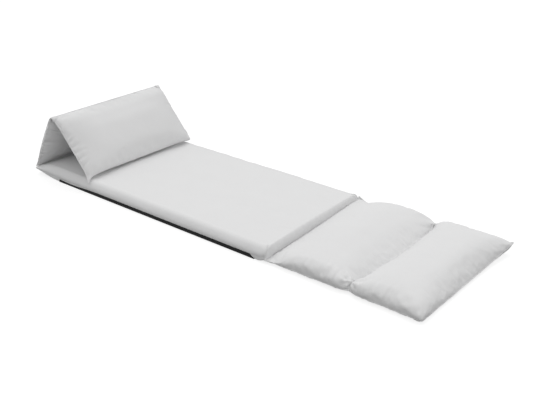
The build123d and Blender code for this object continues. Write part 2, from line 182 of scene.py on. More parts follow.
# ---- pillows ----
class Pillow:
    """A stuffed pillow: two cloth panels that share one rim, each laid out on a grid.

    u runs along it from its sewn end, v across it, and h stands off it towards its folding face.
    shape(s, t, way) gives u, v and h, for s from 0 to 1 along it and t from -1 to 1 across it.
    """

    def __init__(self, name, start, along, face, length, half_width, shape, reaches):
        self.start = Vector(start)
        self.along, self.face = Vector(along).normalized(), Vector(face).normalized()
        self.side = self.face.cross(self.along)
        self.on_floor = self.face.z > 0.9
        self.length, self.half_width = length, half_width
        first_reach, last_reach, side_reach = reaches
        s = self.grid_lines(length, first_reach, last_reach)
        t = self.grid_lines(2 * half_width, side_reach, side_reach) * 2 - 1
        s, t = np.meshgrid(s, t, indexing="ij")
        first = np.arange(s.size).reshape(s.shape)
        inside = (slice(1, -1), slice(1, -1))
        second = first.copy()
        second[inside] = s.size + np.arange(second[inside].size).reshape(second[inside].shape)
        upper, lower = shape(s, t, 1), shape(s, t, -1)
        local = np.concatenate([upper.reshape(-1, 3), lower[inside].reshape(-1, 3)])
        self.s = np.concatenate([s.ravel(), s[inside].ravel()])
        self.t = np.concatenate([t.ravel(), t[inside].ravel()])
        rim = (self.s <= 0) | (self.s >= 1) | (np.abs(self.t) >= 1)
        self.way = np.where(np.arange(len(self.s)) < s.size, 1, -1)
        self.way[rim] = 0
        flat = local[:, :2] + np.outer(self.way < 0, [0, 2 * half_width])
        faces = [self.quads(first), self.quads(second)[:, ::-1]]
        self.piece = mesh_from(name, self.to_world(local), np.concatenate(faces), flat)
        self.grid = first
        self.other_grid = second
        self.edge = np.minimum(np.minimum(self.s, 1 - self.s) * length, (1 - np.abs(self.t)) * half_width)

    @staticmethod
    def grid_lines(length, first_reach, last_reach):
        """Places along a panel from 0 to 1, drawn together where the cloth turns down to its seam."""
        ends = []
        for reach in (first_reach, last_reach):
            turn = np.linspace(0, 1, max(4, round(1.3 * reach / cell)) + 1)
            ends.append(reach * (0.7 * (1 - np.cos(turn * math.pi / 2)) + 0.3 * turn))
        between = length - first_reach - last_reach
        middle = first_reach + between * np.linspace(0, 1, max(2, round(between / cell)) + 1)[1:-1]
        return np.concatenate([ends[0], middle, length - ends[1][::-1]]) / length

    @staticmethod
    def quads(index):
        corners = index[:-1, :-1], index[1:, :-1], index[1:, 1:], index[:-1, 1:]
        return np.stack([c.ravel() for c in corners], 1)

    def to_local(self, co):
        return (co - np.array(self.start)) @ np.array([self.along, self.side, self.face]).T

    def to_world(self, local):
        return np.array(self.start) + local @ np.array([self.along, self.side, self.face])


def head_shape(length, inner, outer, is_front):
    """A headrest pillow: knife edges at both sides, smooth over the ridge, eared at the front's free end.

    Its t runs from -1 at the far side to 1 at the near side.
    """
    rim_bow = 0 if is_front else rear_rim_bow
    end_draw_in, side_draw_in, far_ease = 0.015, 0.008, 0.007
    corner_zone, corner_draw, ear = 0.1, (0.010, 0.003), (0.010, 0.004)
    ridge_reach = 1.5 * outer
    other_reach, other_roundness = (0.055, 0.50) if is_front else (0.075, 0.7)

    def shape(s, t, way):
        end_draw = end_draw_in * (1 - t**10) if is_front else 0 * t
        side_draw = (side_draw_in - far_ease * np.clip(-t, 0, 1) * is_front) * (1 - (2 * s - 1) ** 8)
        far_corner = is_front * np.clip((-t - 1 + corner_zone) / corner_zone, 0, 1) ** 2 * s**6
        near_corner = is_front * np.clip((t - 1 + corner_zone) / corner_zone, 0, 1) ** 2 * s**20
        u = s * (length - end_draw - corner_draw[0] * far_corner + ear[0] * near_corner)
        v = t * (head_half_width - side_draw - corner_draw[1] * far_corner + ear[1] * near_corner)
        side_height = rise((1 - np.abs(t)) * head_half_width, 0.10 - 0.05 * np.clip(-t, 0, 1), 0.60)
        bow = rim_bow * rise(s * length, 0.16, 0.8) * rise((1 - s) * length, 0.05, 0.8)
        rim_height = -bow * (1 - side_height)
        if way > 0:
            ends = rise(s * length, 0.10, 1.0) * rise((1 - s) * length, 0.10, 1.0)
            return np.stack([u, v, rim_height + inner * ends * side_height], -1)
        from_ridge, from_other = (s, 1 - s) if is_front else (1 - s, s)
        other = rise(from_other * length, other_reach, other_roundness)
        ends = rise(from_ridge * length, ridge_reach, 1.0) * other
        if is_front:
            u = u + 0.010 * np.sin(math.pi * other) * side_height
        return np.stack([u, v, rim_height - outer * ends * side_height], -1)

    return shape


def mat_end_skew(t):
    """The mat's foot end isn't quite square: its near side, at t = -1, reaches farther."""
    return mat_skew * ((1 - t) / 2) ** 1.5


def foot_seam_height(side):
    """The level of the seam between the foot pillows: gathered up high at both ends, low in the groove."""
    gathered = 0.003 + 0.029 * bell(side - 0.014, 0.030)
    return foot_rim_height + gathered * rise(side, 0.022, 0.5)


def foot_shape(length, joins_mat):
    """A foot pillow: flat on the floor, full rounded walls, and a groove at the seam between the two.

    Its t runs from -1 at the near side to 1 at the far side.
    """
    side_draw_in, far_ease, end_ease, near_corner_draw = 0.013, 0.004, 0.010, 0.010
    far_reach, end_reach, near_cut = 0.018, 0.006, 0.008
    side_wall, end_wall = 0.009, 0.006
    near_drop, far_fullness = 0.09, 0.06

    def shape(s, t, way):
        along = s * length
        from_seam = length - along if joins_mat else along
        from_other = length - from_seam
        side = (1 - np.abs(t)) * foot_half_width
        near, far = np.clip(-t, 0, 1), np.clip(t, 0, 1)
        rim = foot_rim_height + (foot_seam_height(side) - foot_rim_height) * bell(from_seam, 0.030)
        side_draw = side_draw_in - far_ease * far + seam_pinch * bell(from_seam, 0.020)
        side_draw = side_draw - end_ease * np.exp(-from_other / 0.02)
        u, v = along, t * foot_half_width
        if joins_mat:
            groove = rise(from_seam, 0.085, 0.70)
            near_mat = bell(from_other, 0.045)
            near_side = (1 - t) / 2
            rim = rim + (web_start_height + web_far_lift * (1 - near_side) ** 2 - foot_rim_height) * near_mat
            ramp = np.sin(math.pi / 2 * np.clip(from_other / 0.22, 0, 1)) ** 0.80
            side_reach = 0.038 + 0.09 * near_mat * near_side
            u = u + mat_end_skew(t) * (1 - s) ** 3
        else:
            groove = rise(from_seam, 0.060, 0.54)
            rim = rim + foot_corner_lift * far**3 * bell(from_other, 0.04)
            ramp = rise(from_other, 0.056, 0.44)
            side_reach = 0.042
        sides = rise(side, side_reach, 0.43)
        if not joins_mat:
            near_corner = np.clip((-t - 0.94) / 0.06, 0, 1) ** 2
            wall = end_wall * np.sin(math.pi * ramp) * sides if way > 0 else 0
            u = u + (far_reach * far**3 - end_reach - near_cut * near_corner + wall) * s**8
            side_draw = side_draw + near_corner_draw * near_corner * s**20
        v = v - np.sign(t) * side_draw * np.abs(t)
        if way > 0:
            crown = 1 - near_drop * near**2 + far_fullness * far**2
            wall = side_wall * np.sin(math.pi * sides) * np.minimum(groove, ramp)
            v = v + np.sign(t) * wall
            height = rim + (foot_top - rim) * groove * ramp * sides * crown
        else:
            under = rise(from_seam, 0.045, 0.6) * rise(from_other, 0.030, 0.5) * rise(side, 0.026, 0.5)
            height = rim * (1 - under) + floor_gap
        return np.stack([u, v, height], -1)

    return shape


rear_along = (ridge - head_line).normalized()
rear_inward = Vector((rear_along.z, 0, -rear_along.x))
rear_length = (ridge - head_line).length - 2 * seam_to_rim
front_along = Vector((math.cos(head_front_slope), 0, -math.sin(head_front_slope)))
front_inward = Vector((-math.sin(head_front_slope), 0, -math.cos(head_front_slope)))
inner_start = Vector((mat_foot - 0.002, 0, 0))
inner_length = foot_seam.x - seam_to_rim - inner_start.x
outer_start = Vector((foot_seam.x + seam_to_rim, 0, 0))
outer_length = foot_end - outer_start.x

rear_shape = head_shape(rear_length, rear_inner_bulge, rear_outer_bulge, False)
front_shape = head_shape(head_front_length, front_inner_bulge, front_outer_bulge, True)
pillows = {
    "headrest_rear": Pillow(
        "head_rear_pillow", head_line + rear_along * seam_to_rim, rear_along, rear_inward, rear_length,
        head_half_width, rear_shape, (0.075, 0.040, 0.075)),
    "headrest_front": Pillow(
        "head_front_pillow", ridge + front_along * seam_to_rim, front_along, front_inward,
        head_front_length, head_half_width, front_shape, (0.055, 0.075, 0.075)),
    "foot_inner": Pillow(
        "foot_inner_pillow", inner_start, (1, 0, 0), (0, 0, 1), inner_length, foot_half_width,
        foot_shape(inner_length, True), (0.030, 0.100, 0.040)),
    "foot_outer": Pillow(
        "foot_outer_pillow", outer_start, (1, 0, 0), (0, 0, 1), outer_length, foot_half_width,
        foot_shape(outer_length, False), (0.060, 0.056, 0.042)),
}


# ---- the pillows filled out, with their pleats ----
held_inset = 0.02


def held_points(pillow):
    """The rim, and where a foot pillow lies on the floor or joins the mat: these don't swell."""
    flat = pillow.edge > held_inset
    if pillow.start.x < foot_seam.x:
        flat |= pillow.s * pillow.length < held_inset
    return np.nonzero((pillow.way == 0) | (pillow.on_floor & (pillow.way < 0) & flat))[0].tolist()


fabric = {
    "quality": 5, "mass": 0.25, "tension_stiffness": 20, "compression_stiffness": 20,
    "shear_stiffness": 8, "bending_stiffness": 0.6, "pin_stiffness": 1,
    "use_pressure": True, "uniform_pressure_force": 4, "shrink_min": -0.022,
}
swell_steps, swell_limit = 20, 0.024


def swell(pillows):
    """Lets the panels, cut a little large, fill out and pucker along their held seams."""
    before = [points_of(pillow.piece) for pillow in pillows]
    for pillow, co in zip(pillows, before):
        piece = pillow.piece
        set_points(piece, co + normals_of(piece) * wavy(co, 0.03, 3)[:, None] * 0.0006)
        hold = piece.vertex_groups.new(name="held")
        hold.add(held_points(pillow), 1.0, "REPLACE")
        cloth = piece.modifiers.new("cloth", "CLOTH")
        for label, value in fabric.items():
            setattr(cloth.settings, label, value)
        cloth.settings.vertex_group_mass = "held"
        cloth.settings.effector_weights.gravity = 0
        cloth.collision_settings.use_collision = cloth.collision_settings.use_self_collision = False
        cloth.point_cache.frame_start, cloth.point_cache.frame_end = 1, swell_steps
    scene = bpy.context.scene
    for step in range(1, swell_steps + 1):
        scene.frame_set(step)
    graph = bpy.context.evaluated_depsgraph_get()
    for pillow, co in zip(pillows, before):
        piece = pillow.piece
        move = points_of(piece.evaluated_get(graph)) - co
        far = np.linalg.norm(move, axis=1)
        move *= np.where(far > swell_limit, swell_limit / np.maximum(far, 1e-9), 1)[:, None]
        piece.modifiers.clear()
        piece.vertex_groups.clear()
        near_seam = np.exp(-pillow.edge / 0.022)[:, None]
        move = near_seam * move + (1 - near_seam) * even_out(piece, move, 60)
        move[pillow.way == 0] = 0
        set_points(piece, co + move)
    scene.frame_set(1)


swell(list(pillows.values()))


def pleats(along, depth, spacing, seed):
    """Short creases that start at a seam: places along it, and how far each point lies from it."""
    chance = np.random.default_rng(seed)
    out = np.zeros_like(along)
    place = along.min() + spacing * chance.random()
    while place < along.max():
        reach = chance.uniform(0.018, 0.070)
        width = chance.uniform(0.0040, 0.0095)
        lean = chance.uniform(-0.35, 0.35)
        strength = chance.uniform(0.35, 1.0)
        off = (along - place - lean * depth) / width
        crease = 0.45 * bell(np.abs(off) - 1.7, 1) - bell(off, 1)
        out += strength * crease * np.clip(1 - depth / reach, 0, 1) ** 0.8
        place += spacing * chance.uniform(0.5, 1.7)
    return out


def fan(first, second, count, reach):
    """Creases that fan out from a corner, given each point's distances from its two edges."""
    far = np.hypot(first, second)
    strength = np.exp(-far / reach) * (1 - np.exp(-far / (0.3 * reach)))
    return np.cos(count * np.arctan2(second, first)) * strength


def finish_pillow(pillow, upper, lower, seed, crease):
    """Brings the swollen panels to their height and adds pleats and soft lumps."""
    piece = pillow.piece
    local = pillow.to_local(points_of(piece))
    up, down = pillow.way > 0, pillow.way < 0
    local[up, 2] *= upper / np.percentile(local[up, 2], 99.5)
    if not pillow.on_floor:
        local[down, 2] *= -lower / np.percentile(local[down, 2], 0.5)
    set_points(piece, pillow.to_world(local))
    height = local[:, 2]
    u, v = pillow.s * pillow.length, pillow.t * pillow.half_width
    side = (1 - np.abs(pillow.t)) * pillow.half_width
    far_side = np.clip(pillow.t if pillow.on_floor else -pillow.t, 0, 1)
    seams = (
        (pillow.t < 0, u, side), (pillow.t > 0, u, side),
        (pillow.s < 0.5, v, u), (pillow.s >= 0.5, v, pillow.length - u),
    )
    pattern = np.zeros(len(u))
    for number, (where, along, depth) in enumerate(seams):
        arc = depth + np.abs(height) * np.exp(-depth / 0.02) * (0.6 if pillow.on_floor else 0.2)
        for way in (1, -1):
            chosen = where & (pillow.way == way)
            spacing = 0.026 if number < 2 or pillow.s[chosen].mean() > 0.5 else 0.05
            strength = 1.2 if number < 2 else 0.45
            creases = pleats(along[chosen], arc[chosen], spacing, seed * 10 + number * 2 + (way > 0))
            pattern[chosen] += strength * creases
    pattern += 0.5 * fan(pillow.length - u, side, 14, 0.022) + 0.5 * fan(u, side, 14, 0.022)
    if pillow.on_floor:
        from_seam = u if pillow.start.x > foot_seam.x else pillow.length - u
        ruck = np.sin(height * 2 * math.pi / 0.011 + 3 * wavy(local, 0.02, seed + 2))
        pattern += 0.7 * ruck * np.exp(-from_seam / 0.012 - side / 0.030)
        pattern += 2.0 * fan(from_seam, side - 0.014, 7, 0.030)
        pattern *= np.clip((height - 0.016) / 0.022, 0, 1) * (1 - 0.5 * far_side)
    pattern *= 1 - np.exp(-pillow.edge / 0.0015)
    flat = np.stack([u, v, pillow.way * 0.4], 1)
    lumps = wavy(flat, 0.12, seed + 9) * 0.0018 + wavy(flat, 0.05, seed + 4) * 0.0006
    lumps *= 1 - np.exp(-pillow.edge / 0.03)
    rucked = 0.0032 * (1 - 0.7 * far_side) * bell(pillow.edge - 0.020, 0.020)
    lumps += wavy(flat, 0.030, seed + 6) * rucked
    co = points_of(piece) + normals_of(piece) * (pattern * crease + lumps)[:, None]
    co[:, 2] = np.maximum(co[:, 2], floor_gap)
    set_points(piece, co)


head_rear_crease, head_front_crease, foot_crease = 0.0036, 0.0026, 0.0056
foot_height = foot_top - 0.001
finish_pillow(pillows["headrest_rear"], rear_inner_bulge, rear_outer_bulge, 1, head_rear_crease)
finish_pillow(pillows["headrest_front"], front_inner_bulge, front_outer_bulge, 2, head_front_crease)
finish_pillow(pillows["foot_inner"], foot_height, 0, 3, foot_crease)
finish_pillow(pillows["foot_outer"], foot_height, 0, 4, foot_crease)


# ---- mat ----
mat_foot_lift = 0.010
shoulder_level, shoulder_width, side_inset = 0.40, 0.032, 0.003


def mat_levels(x):
    """The mat's lowest and highest level at x: both draw in towards the seam at its head end."""
    share = np.clip((x - mat_head) / (cloth_head - mat_head), 0, 1)
    low = head_edge_low * (1 - share) ** 1.7
    high = head_edge_high + (mat_top - head_edge_high) * (1 - (1 - share) ** 2.1)
    foot = np.clip((x - cloth_foot) / (mat_foot - cloth_foot), 0, 1)
    return float(low + mat_foot_lift * foot**2), float(high)


def mat_point(p, q, level):
    """A point of the mat's skin: p from 0 at the head to 1 at the foot, q across, level from 0 to 1."""
    length = mat_foot - mat_head
    x = mat_head + length * p
    low, high = mat_levels(x)
    z = low + (high - low) * level
    to_head, to_foot = length * p, length * (1 - p)
    turned = max(0, (level - shoulder_level) / (1 - shoulder_level))
    shoulder = shoulder_width * (1 - math.sqrt(1 - min(1, turned) ** 2))
    bulge = 0.0020 * math.sin(math.pi * min(1, max(0, level - 0.30) / 0.4))
    y = q * (mat_half_width - side_inset - shoulder + bulge)
    foot_round = 0.010 * (1 - math.sqrt(1 - max(0, (level - 0.6) / 0.4) ** 2))
    x -= foot_round * max(0, 1 - to_foot / 0.06) ** 2
    x += mat_end_skew(q) * max(0, 1 - to_foot / 0.12) ** 2
    corner = max(0, abs(q) - 0.95) / 0.05
    x -= 0.005 * corner**2 * max(0, 1 - to_foot / 0.03)
    y -= math.copysign(0.005 * corner**2 * max(0, 1 - to_foot / 0.02) ** 2, q)
    ear = corner**2 * math.exp(-to_head / 0.010)
    x -= 0.004 * ear
    y += math.copysign(0.003 * ear, q)
    if level == 1:
        z -= 0.0022 * abs(q) ** 2.5
    return x, y, z


def make_mat():
    """The mat's cover as a grid wrapped round a block."""
    length = mat_foot - mat_head
    nx, ny = round(length / mat_cell), round(2 * mat_half_width / mat_cell)
    turn = np.linspace(0, math.pi / 2, 9)[1:]
    stitched_level = 4
    levels = [0, 0.12, 0.255, 0.295, 0.35, shoulder_level]
    levels += list(shoulder_level + (1 - shoulder_level) * np.sin(turn))
    nz = len(levels) - 1
    index, points, uvs = {}, [], []

    def corner(i, j, k):
        if (i, j, k) not in index:
            index[i, j, k] = len(points)
            x, y, z = mat_point(i / nx, 2 * j / ny - 1, levels[k])
            points.append((x, y, z))
            uvs.append((x, y if k in (0, nz) else math.copysign(abs(y) + z, y)))
        return index[i, j, k]

    def quad(spot, first, second):
        shifts = (0, 0, 0), first, [a + b for a, b in zip(first, second)], second
        return [corner(*[a + b for a, b in zip(spot, shift)]) for shift in shifts]

    along, across, up = (1, 0, 0), (0, 1, 0), (0, 0, 1)
    faces = []
    for i in range(nx):
        for j in range(ny):
            faces += [quad((i, j, nz), along, across), quad((i, j, 0), across, along)]
    for k in range(nz):
        for i in range(nx):
            faces += [quad((i, 0, k), along, up), quad((i, ny, k), up, along)]
        for j in range(ny):
            faces += [quad((0, j, k), up, across), quad((nx, j, k), across, up)]
    piece = mesh_from("mat_cover", points, faces, uvs)
    seams = {"head": [index[0, j, nz] for j in range(ny + 1)]}
    for side, j in (("near", 0), ("far", ny)):
        seams[side + "_corner"] = [index[nx, j, k] for k in range(nz)]
        seams[side + "_side"] = [index[i, j, stitched_level] for i in range(nx + 1)]
    return piece, seams


def soften_mat(piece):
    """Soft hollows, a wavy shoulder, creases at the ends, and the wall tucked in the black cloth."""
    crease = 0.0022
    co = points_of(piece)
    x, y, z = co.T
    side = mat_half_width - np.abs(y)
    tucked = (x > cloth_head - 0.001) & (x < cloth_foot + 0.001) & (z < cloth_edge + 0.0005)
    upper = np.clip((z - cloth_edge) / 0.02, 0, 1)
    soft = wavy(co * np.array([0.5, 1, 1]), 0.11, 21) * 0.0022 * upper
    ripple = wavy(co * np.array([1, 0.3, 0.6]), 0.05, 22) * 0.0040 * np.exp(-side / 0.030) * upper
    creases = np.zeros(len(co))
    for number, sign in enumerate((-1, 1)):
        chosen = (y * sign > 0) & (side < 0.1) & ~tucked
        ends = np.exp(-(x[chosen] - mat_head) / 0.12) + 0.5 * np.exp(-(mat_foot - x[chosen]) / 0.05) + 0.15
        creases[chosen] = pleats(x[chosen], side[chosen] + mat_top - z[chosen], 0.04, 50 + number) * ends
    to_foot = mat_foot - x
    chosen = to_foot < 0.05
    creases[chosen] += 0.5 * pleats(y[chosen], to_foot[chosen] + mat_top - z[chosen], 0.05, 53)
    co += normals_of(piece) * ((soft + ripple + creases * crease) * ~tucked)[:, None]
    wall = tucked & (np.abs(co[:, 1]) > cloth_half_width - 0.006)
    co[wall, 1] = np.sign(co[wall, 1]) * (cloth_half_width - 0.0014)
    co[tucked, 2] = np.maximum(co[tucked, 2], base_wall + 0.0005)
    co[:, 2] = np.clip(co[:, 2], 0.0005, mat_top + 0.002)
    set_points(piece, co)


base_wall = 0.0011
mat, mat_seams = make_mat()
soften_mat(mat)


# ---- black underside cloth: a shallow tray under the mat ----
def make_base_cloth():
    outer, inner, wall = cloth_half_width, cloth_half_width - base_wall, base_wall
    slant, stations = 0.020, 140
    section = [(-outer, cloth_edge), (-outer, 0.0), (outer, 0.0), (outer, cloth_edge)]
    section += [(inner, cloth_edge), (inner, wall), (-inner, wall), (-inner, cloth_edge)]
    run = np.cumsum([0] + [math.dist(section[n], section[n - 1]) for n in range(1, len(section))])
    points, uvs = [], []
    for x in np.linspace(cloth_head, cloth_foot, stations):
        near_foot = max(0, 1 - (cloth_foot - x) / 0.07)
        near_head = max(0, 1 - (x - cloth_head) / 0.03)
        sag = 1 - 0.45 * bell(x - mat_head - 0.23, 0.10)
        for n, (y, z) in enumerate(section):
            z = z * sag if z > wall else z
            cut = (0.3 * near_head - near_foot) * slant * z / cloth_edge
            points.append((x + cut, y, z))
            uvs.append((x, run[n]))
    last = len(points) - len(section)
    head_end = [(0, 1, 6, 7), (1, 2, 5, 6), (2, 3, 4, 5)]
    tail = [[last + n for n in face] for face in flipped(head_end)]
    faces = ring_faces(stations, len(section)) + head_end + tail
    return mesh_from("base_cloth", points, flipped(faces), uvs, smooth=False)


base_cloth = make_base_cloth()


# ---- the flap that joins the rear pillow to the mat ----
def make_head_flap():
    """A strip of cover cloth, sewn to the mat's head end and lapped up the back of the rear pillow."""
    half, lap, columns = head_half_width - 0.016, 0.022, 121
    profile = [(mat_head + 0.003, head_edge_low - 0.0012), (mat_head - 0.0016, head_edge_low + 0.001)]
    for distance in np.linspace(0.001, lap, 7):
        height = rear_outer_bulge * float(rise(distance, 0.075, 0.7)) + 0.0022
        spot = head_line + rear_along * distance - rear_inward * height
        profile.append((spot.x, spot.z))
    points, uvs = [], []
    run = np.cumsum([0] + [math.dist(profile[n], profile[n - 1]) for n in range(1, len(profile))])
    for n, (x, z) in enumerate(profile):
        for y in np.linspace(-half, half, columns):
            drawn = 0.004 * (y / half) ** 12 * (n > 1)
            ease = noise.noise(Vector((n * 0.4, y / 0.03, 8.0))) * 0.0004 - drawn
            points.append((x - ease * rear_inward.x * 0.3, y, z + ease * 0.3))
            uvs.append((run[n], y))
    piece = mesh_from("head_flap_cloth", points, sheet_faces(len(profile), columns), uvs)
    thicken(piece, cloth_thickness, 0)
    return piece, (2 * half, float(run[-1]))


head_flap, head_flap_flat = make_head_flap()


# ---- gathered roll between the foot pillows, and the binding over the ridge ----
def tube_along(name, path, radius, pucker, seed):
    """A gathered tube of cloth along a path, closed at both ends."""
    path = [Vector(p) for p in path]
    points, uvs = [], []
    run, around, pucker_pitch = 0.0, 10, 0.0055
    for n, spot in enumerate(path):
        ahead = (path[min(n + 1, len(path) - 1)] - path[max(n - 1, 0)]).normalized()
        across = Vector((1, 0, 0))
        up = across.cross(ahead).normalized()
        run += (spot - path[n - 1]).length if n else 0
        end = min(1, 0.35 + min(n, len(path) - 1 - n) / 3)
        r = radius * end * (1 + pucker * noise.noise(Vector((run / pucker_pitch, seed, 0))))
        for m in range(around):
            angle = 2 * math.pi * m / around
            points.append(spot + across * r * math.cos(angle) + up * r * math.sin(angle))
            uvs.append((r * angle, run))
    faces = ring_faces(len(path), around)
    faces += [range(around), range(len(points) - around, len(points))[::-1]]
    return mesh_from(name, points, faces, uvs)


def foot_seam_path():
    """Up from the floor at the near end, along the groove, and down at the far end."""
    half = foot_half_width - 0.017 - seam_pinch
    across = np.sin(np.linspace(-math.pi / 2, math.pi / 2, 260))
    side = (1 - np.abs(across)) * foot_half_width
    height = foot_seam_height(side) - 0.0014
    return [(foot_seam.x, half * t, z) for t, z in zip(across, height)]


roll_radius, binding_radius = 0.0022, 0.0013
foot_seam_roll = tube_along("foot_seam_roll", foot_seam_path(), roll_radius, 0.5, 31)
ridge_half = head_half_width - 0.006
ridge_line = [(ridge.x, y, ridge.z - 0.0006) for y in np.linspace(-ridge_half, ridge_half, 200)]
ridge_binding = tube_along("ridge_seam_binding", ridge_line, binding_radius, 0.15, 32)


def make_ridge_tabs():
    """The small loop of cover cloth left at each end of the ridge, folded over both pillows."""
    points, uvs, faces = [], [], []
    middle = (rear_along - front_along).normalized()
    width, radius, steps, columns = 0.020, 0.0140, 15, 7
    centre = ridge - middle * 0.0125
    for sign in (-1, 1):
        base = len(points)
        for step in range(steps):
            turn = math.radians(-112 + 224 * step / (steps - 1))
            arm = Vector((math.sin(turn), 0, math.cos(turn)))
            for j in range(columns):
                share = j / (columns - 1)
                y = sign * (head_half_width - width * (1 - share))
                puff = radius * (1 - 0.45 * share**4) + 0.0010 * math.sin(math.pi * share)
                rumple = 0.0012 * noise.noise(Vector((step * 0.6, share * 2, sign)))
                spot = centre + arm * puff + middle * rumple
                points.append((spot.x, y, spot.z))
                uvs.append((step * 0.003, y))
        quads = sheet_faces(steps, columns, base)
        faces += flipped(quads) if sign > 0 else quads
    piece = mesh_from("ridge_end_tabs", points, faces, uvs)
    thicken(piece, 0.0022, -1)
    return piece


ridge_tabs = make_ridge_tabs()


# ---- elastic straps round the frame ----
def make_straps(name, node):
    """Flat elastic loops with soft edges, one for each strap of the frame half."""
    low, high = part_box(node)
    width, wall, edge, radius, count = 0.050, 0.0011, 0.0012, 0.003, 3
    half_y, half_z, middle_z = (high.y - low.y) / 2, (high.z - low.z) / 2, (high.z + low.z) / 2
    section = [(0, 0.35), (edge, 0), (width - edge, 0), (width, 0.35)]
    section += [(width, 0.65), (width - edge, 1), (edge, 1), (0, 0.65)]
    loop = []
    for way_y, way_z, start in ((1, 1, 0), (-1, 1, 90), (-1, -1, 180), (1, -1, 270)):
        for step in range(5):
            turn = math.radians(start + step * 22.5)
            out = Vector((0, math.cos(turn), math.sin(turn)))
            corner = Vector((0, way_y * (half_y - radius), way_z * (half_z - radius)))
            loop.append((corner + out * radius, out))
    points, faces = [], []
    for left in np.linspace(low.x, high.x - width, count):
        faces += ring_faces(len(loop), len(section), len(points), closed=True)
        for spot, out in loop:
            points += [Vector((left + x, 0, middle_z)) + spot - out * wall * depth for x, depth in section]
    return mesh_from(name, points, faces)


seat_straps = make_straps("seat_elastic_straps", "seat_straps")
back_straps = make_straps("back_elastic_straps", "back_straps")


# ---- materials ----
def new_group(name, kind, inputs, outputs):
    """A node group with named sockets, and its input and output nodes."""
    group = bpy.data.node_groups.new(name, kind)
    for way, sockets in (("INPUT", inputs), ("OUTPUT", outputs)):
        for label, holds in sockets.items():
            group.interface.new_socket(name=label, in_out=way, socket_type="NodeSocket" + holds)
    return group, group.nodes.new("NodeGroupInput"), group.nodes.new("NodeGroupOutput")


def add_node(nodes, kind, **values):
    """A new node with some inputs set; an underscore stands for a space in a name."""
    node = nodes.new(kind)
    for label, value in values.items():
        node.inputs[label.replace("_", " ")].default_value = value
    return node


def join(source, output, target, socket):
    """Links one node to the next; sockets go by name or by number."""
    source.id_data.links.new(source.outputs[output], target.inputs[socket])


def plain_weave_group():
    """A plain weave on the flat cloth, with soft handling marks and slight colour changes."""
    group, given, out = new_group(
        "plain_weave", "ShaderNodeTree",
        {"Vector": "Vector", "Threads per metre": "Float", "Colour": "Color", "Shade": "Color",
         "Variation": "Float"},
        {"Height": "Float", "Marks": "Float", "Colour": "Color", "Roughness": "Float"})
    nodes, links = group.nodes, group.links

    def noise_at(scale, detail):
        node = add_node(nodes, "ShaderNodeTexNoise", Scale=scale, Detail=detail)
        join(given, "Vector", node, "Vector")
        return node.outputs["Fac"]

    def combine(operation, first, second, third=None):
        node = nodes.new("ShaderNodeMath")
        node.operation = operation
        for socket, value in zip(node.inputs, (first, second, third)):
            if isinstance(value, float):
                socket.default_value = value
            elif value is not None:
                links.new(value, socket)
        return node.outputs[0]

    scale = combine("MULTIPLY", given.outputs["Threads per metre"], 0.05)
    threads = []
    for axis in ("X", "Y"):
        wave = add_node(nodes, "ShaderNodeTexWave", Distortion=0.6, Detail=1, Detail_Scale=0.4)
        wave.wave_type, wave.bands_direction, wave.wave_profile = "BANDS", axis, "SIN"
        links.new(scale, wave.inputs["Scale"])
        join(given, "Vector", wave, "Vector")
        threads.append(wave.outputs["Fac"])
    slub, cloud = noise_at(220, 3), noise_at(9, 5)
    high = combine("MAXIMUM", *threads)
    links.new(combine("MULTIPLY_ADD", slub, 0.6, high), out.inputs["Height"])
    links.new(combine("MULTIPLY_ADD", noise_at(24, 2), 0.5, noise_at(60, 2)), out.inputs["Marks"])
    amount = combine("MULTIPLY", combine("MULTIPLY", cloud, slub), given.outputs["Variation"])
    mix = nodes.new("ShaderNodeMix")
    mix.data_type = "RGBA"
    colours = [socket for socket in mix.inputs if socket.type == "RGBA"]
    links.new(amount, mix.inputs["Factor"])
    links.new(given.outputs["Colour"], colours[0])
    links.new(given.outputs["Shade"], colours[1])
    links.new(next(socket for socket in mix.outputs if socket.type == "RGBA"), out.inputs["Colour"])
    rough = add_node(nodes, "ShaderNodeMapRange", To_Min=0.82, To_Max=0.97)
    links.new(slub, rough.inputs["Value"])
    join(rough, "Result", out, "Roughness")
    return group


plain_weave = plain_weave_group()
thread_relief, mark_relief = 0.0002, 0.004


def new_material(name):
    """A material with its nodes and its main shader."""
    material = bpy.data.materials.new(name)
    material.use_nodes = True
    nodes = material.node_tree.nodes
    return material, nodes, nodes["Principled BSDF"]


def cloth_material(name, colour, shade, threads, weave_depth, variation, mapped="UV", marks=0.0, sheen=0.15):
    material, nodes, shader = new_material(name)
    place = nodes.new("ShaderNodeTexCoord")
    weave = nodes.new("ShaderNodeGroup")
    weave.node_tree = plain_weave
    values = threads, (*colour, 1), (*shade, 1), variation
    for label, value in zip(("Threads per metre", "Colour", "Shade", "Variation"), values):
        weave.inputs[label].default_value = value
    join(place, mapped, weave, "Vector")
    soft = add_node(nodes, "ShaderNodeBump", Strength=marks, Distance=mark_relief)
    fine = add_node(nodes, "ShaderNodeBump", Strength=weave_depth, Distance=thread_relief)
    join(weave, "Marks", soft, "Height")
    join(weave, "Height", fine, "Height")
    join(soft, "Normal", fine, "Normal")
    join(fine, "Normal", shader, "Normal")
    join(weave, "Colour", shader, "Base Color")
    join(weave, "Roughness", shader, "Roughness")
    shader.inputs["Sheen Weight"].default_value = sheen
    shader.inputs["Sheen Roughness"].default_value = 0.5
    shader.inputs["Specular IOR Level"].default_value = 0.25
    return material


